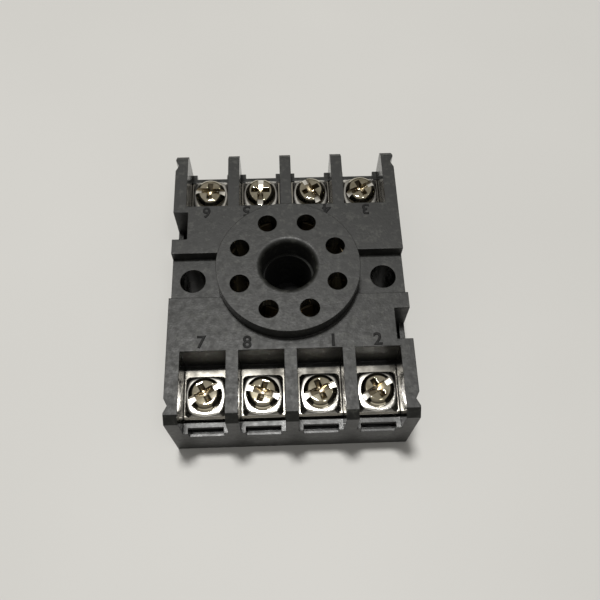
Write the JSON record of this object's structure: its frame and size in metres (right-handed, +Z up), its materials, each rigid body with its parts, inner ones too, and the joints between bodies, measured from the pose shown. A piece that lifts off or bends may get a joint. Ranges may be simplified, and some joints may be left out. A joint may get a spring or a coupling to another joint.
{
  "type": "octal relay socket",
  "caption": "Plug-in base for an octal relay, with screw terminals at both ends, a round pin seat with a keyed bore, and a sliding latch for a 35 mm rail.",
  "frame": {"origin": "middle of the underside, on the surface the socket stands on", "axes": "+Z up out of the relay seat, +X along the rail, +Y from the row of terminals 7 8 1 2 to the row 6 5 4 3"},
  "size_m": [0.0402, 0.0512, 0.0199],
  "materials": {
    "housing_plastic": "black phenolic moulding, satin with a fine grain",
    "base_plastic": "black moulded plastic, satin",
    "strip_metal": "nickel-plated sheet, bright",
    "clip_metal": "plated spring bronze, bright",
    "clamp_metal": "bright nickel plate",
    "screw_metal": "bright nickel plate, slightly warm",
    "rivet_metal": "brass, satin",
    "joining_metal": "zinc plated",
    "latch_plastic": "black moulded plastic, satin",
    "spring_metal": "bright spring wire"
  },
  "bodies": {
    "socket": {"housing": "housing_plastic", "base_plate": "base_plastic", "clip_rivets": "rivet_metal", "joining_screws": "joining_metal", "latch_spring": "spring_metal", "terminal_strip_1": "strip_metal", "terminal_strip_2": "strip_metal", "terminal_strip_3": "strip_metal", "terminal_strip_4": "strip_metal", "terminal_strip_5": "strip_metal", "terminal_strip_6": "strip_metal", "terminal_strip_7": "strip_metal", "terminal_strip_8": "strip_metal", "contact_clip_1": "clip_metal", "contact_clip_2": "clip_metal", "contact_clip_3": "clip_metal", "contact_clip_4": "clip_metal", "contact_clip_5": "clip_metal", "contact_clip_6": "clip_metal", "contact_clip_7": "clip_metal", "contact_clip_8": "clip_metal"},
    "clamp_1": {"clamp_plate_1": "clamp_metal"},
    "screw_1": {"terminal_screw_1": "screw_metal"},
    "clamp_2": {"clamp_plate_2": "clamp_metal"},
    "screw_2": {"terminal_screw_2": "screw_metal"},
    "clamp_3": {"clamp_plate_3": "clamp_metal"},
    "screw_3": {"terminal_screw_3": "screw_metal"},
    "clamp_4": {"clamp_plate_4": "clamp_metal"},
    "screw_4": {"terminal_screw_4": "screw_metal"},
    "clamp_5": {"clamp_plate_5": "clamp_metal"},
    "screw_5": {"terminal_screw_5": "screw_metal"},
    "clamp_6": {"clamp_plate_6": "clamp_metal"},
    "screw_6": {"terminal_screw_6": "screw_metal"},
    "clamp_7": {"clamp_plate_7": "clamp_metal"},
    "screw_7": {"terminal_screw_7": "screw_metal"},
    "clamp_8": {"clamp_plate_8": "clamp_metal"},
    "screw_8": {"terminal_screw_8": "screw_metal"},
    "latch": {"rail_latch": "latch_plastic"}
  },
  "joints": [
    {"name": "clamp_lift_1", "type": "slide", "parent": "socket", "child": "clamp_1", "axis": [0, 0, 1], "range_m": [0, 0.0024]},
    {"name": "screw_turn_1", "type": "hinge", "parent": "clamp_1", "child": "screw_1", "pos_m": [0.00473, -0.01965, 0.0116], "axis": [0, 0, 1], "range_deg": [0, 1440]},
    {"name": "clamp_lift_2", "type": "slide", "parent": "socket", "child": "clamp_2", "axis": [0, 0, 1], "range_m": [0, 0.0024]},
    {"name": "screw_turn_2", "type": "hinge", "parent": "clamp_2", "child": "screw_2", "pos_m": [0.01418, -0.01965, 0.0116], "axis": [0, 0, 1], "range_deg": [0, 1440]},
    {"name": "clamp_lift_3", "type": "slide", "parent": "socket", "child": "clamp_3", "axis": [0, 0, 1], "range_m": [0, 0.0024]},
    {"name": "screw_turn_3", "type": "hinge", "parent": "clamp_3", "child": "screw_3", "pos_m": [0.01418, 0.01965, 0.0116], "axis": [0, 0, 1], "range_deg": [0, 1440]},
    {"name": "clamp_lift_4", "type": "slide", "parent": "socket", "child": "clamp_4", "axis": [0, 0, 1], "range_m": [0, 0.0024]},
    {"name": "screw_turn_4", "type": "hinge", "parent": "clamp_4", "child": "screw_4", "pos_m": [0.00473, 0.01965, 0.0116], "axis": [0, 0, 1], "range_deg": [0, 1440]},
    {"name": "clamp_lift_5", "type": "slide", "parent": "socket", "child": "clamp_5", "axis": [0, 0, 1], "range_m": [0, 0.0024]},
    {"name": "screw_turn_5", "type": "hinge", "parent": "clamp_5", "child": "screw_5", "pos_m": [-0.00473, 0.01965, 0.0116], "axis": [0, 0, 1], "range_deg": [0, 1440]},
    {"name": "clamp_lift_6", "type": "slide", "parent": "socket", "child": "clamp_6", "axis": [0, 0, 1], "range_m": [0, 0.0024]},
    {"name": "screw_turn_6", "type": "hinge", "parent": "clamp_6", "child": "screw_6", "pos_m": [-0.01418, 0.01965, 0.0116], "axis": [0, 0, 1], "range_deg": [0, 1440]},
    {"name": "clamp_lift_7", "type": "slide", "parent": "socket", "child": "clamp_7", "axis": [0, 0, 1], "range_m": [0, 0.0024]},
    {"name": "screw_turn_7", "type": "hinge", "parent": "clamp_7", "child": "screw_7", "pos_m": [-0.01418, -0.01965, 0.0116], "axis": [0, 0, 1], "range_deg": [0, 1440]},
    {"name": "clamp_lift_8", "type": "slide", "parent": "socket", "child": "clamp_8", "axis": [0, 0, 1], "range_m": [0, 0.0024]},
    {"name": "screw_turn_8", "type": "hinge", "parent": "clamp_8", "child": "screw_8", "pos_m": [-0.00473, -0.01965, 0.0116], "axis": [0, 0, 1], "range_deg": [0, 1440]},
    {"name": "latch_slide", "type": "slide", "parent": "socket", "child": "latch", "axis": [0, 1, 0], "range_m": [0, 0.0018], "stiffness_N_per_m": 400, "springref_m": -0.001, "deforming": ["latch_spring"]}
  ],
  "couplings": [
    {"joint": "screw_turn_1", "follows": "clamp_lift_1", "rad_per_m": 10472},
    {"joint": "screw_turn_2", "follows": "clamp_lift_2", "rad_per_m": 10472},
    {"joint": "screw_turn_3", "follows": "clamp_lift_3", "rad_per_m": 10472},
    {"joint": "screw_turn_4", "follows": "clamp_lift_4", "rad_per_m": 10472},
    {"joint": "screw_turn_5", "follows": "clamp_lift_5", "rad_per_m": 10472},
    {"joint": "screw_turn_6", "follows": "clamp_lift_6", "rad_per_m": 10472},
    {"joint": "screw_turn_7", "follows": "clamp_lift_7", "rad_per_m": 10472},
    {"joint": "screw_turn_8", "follows": "clamp_lift_8", "rad_per_m": 10472}
  ]
}
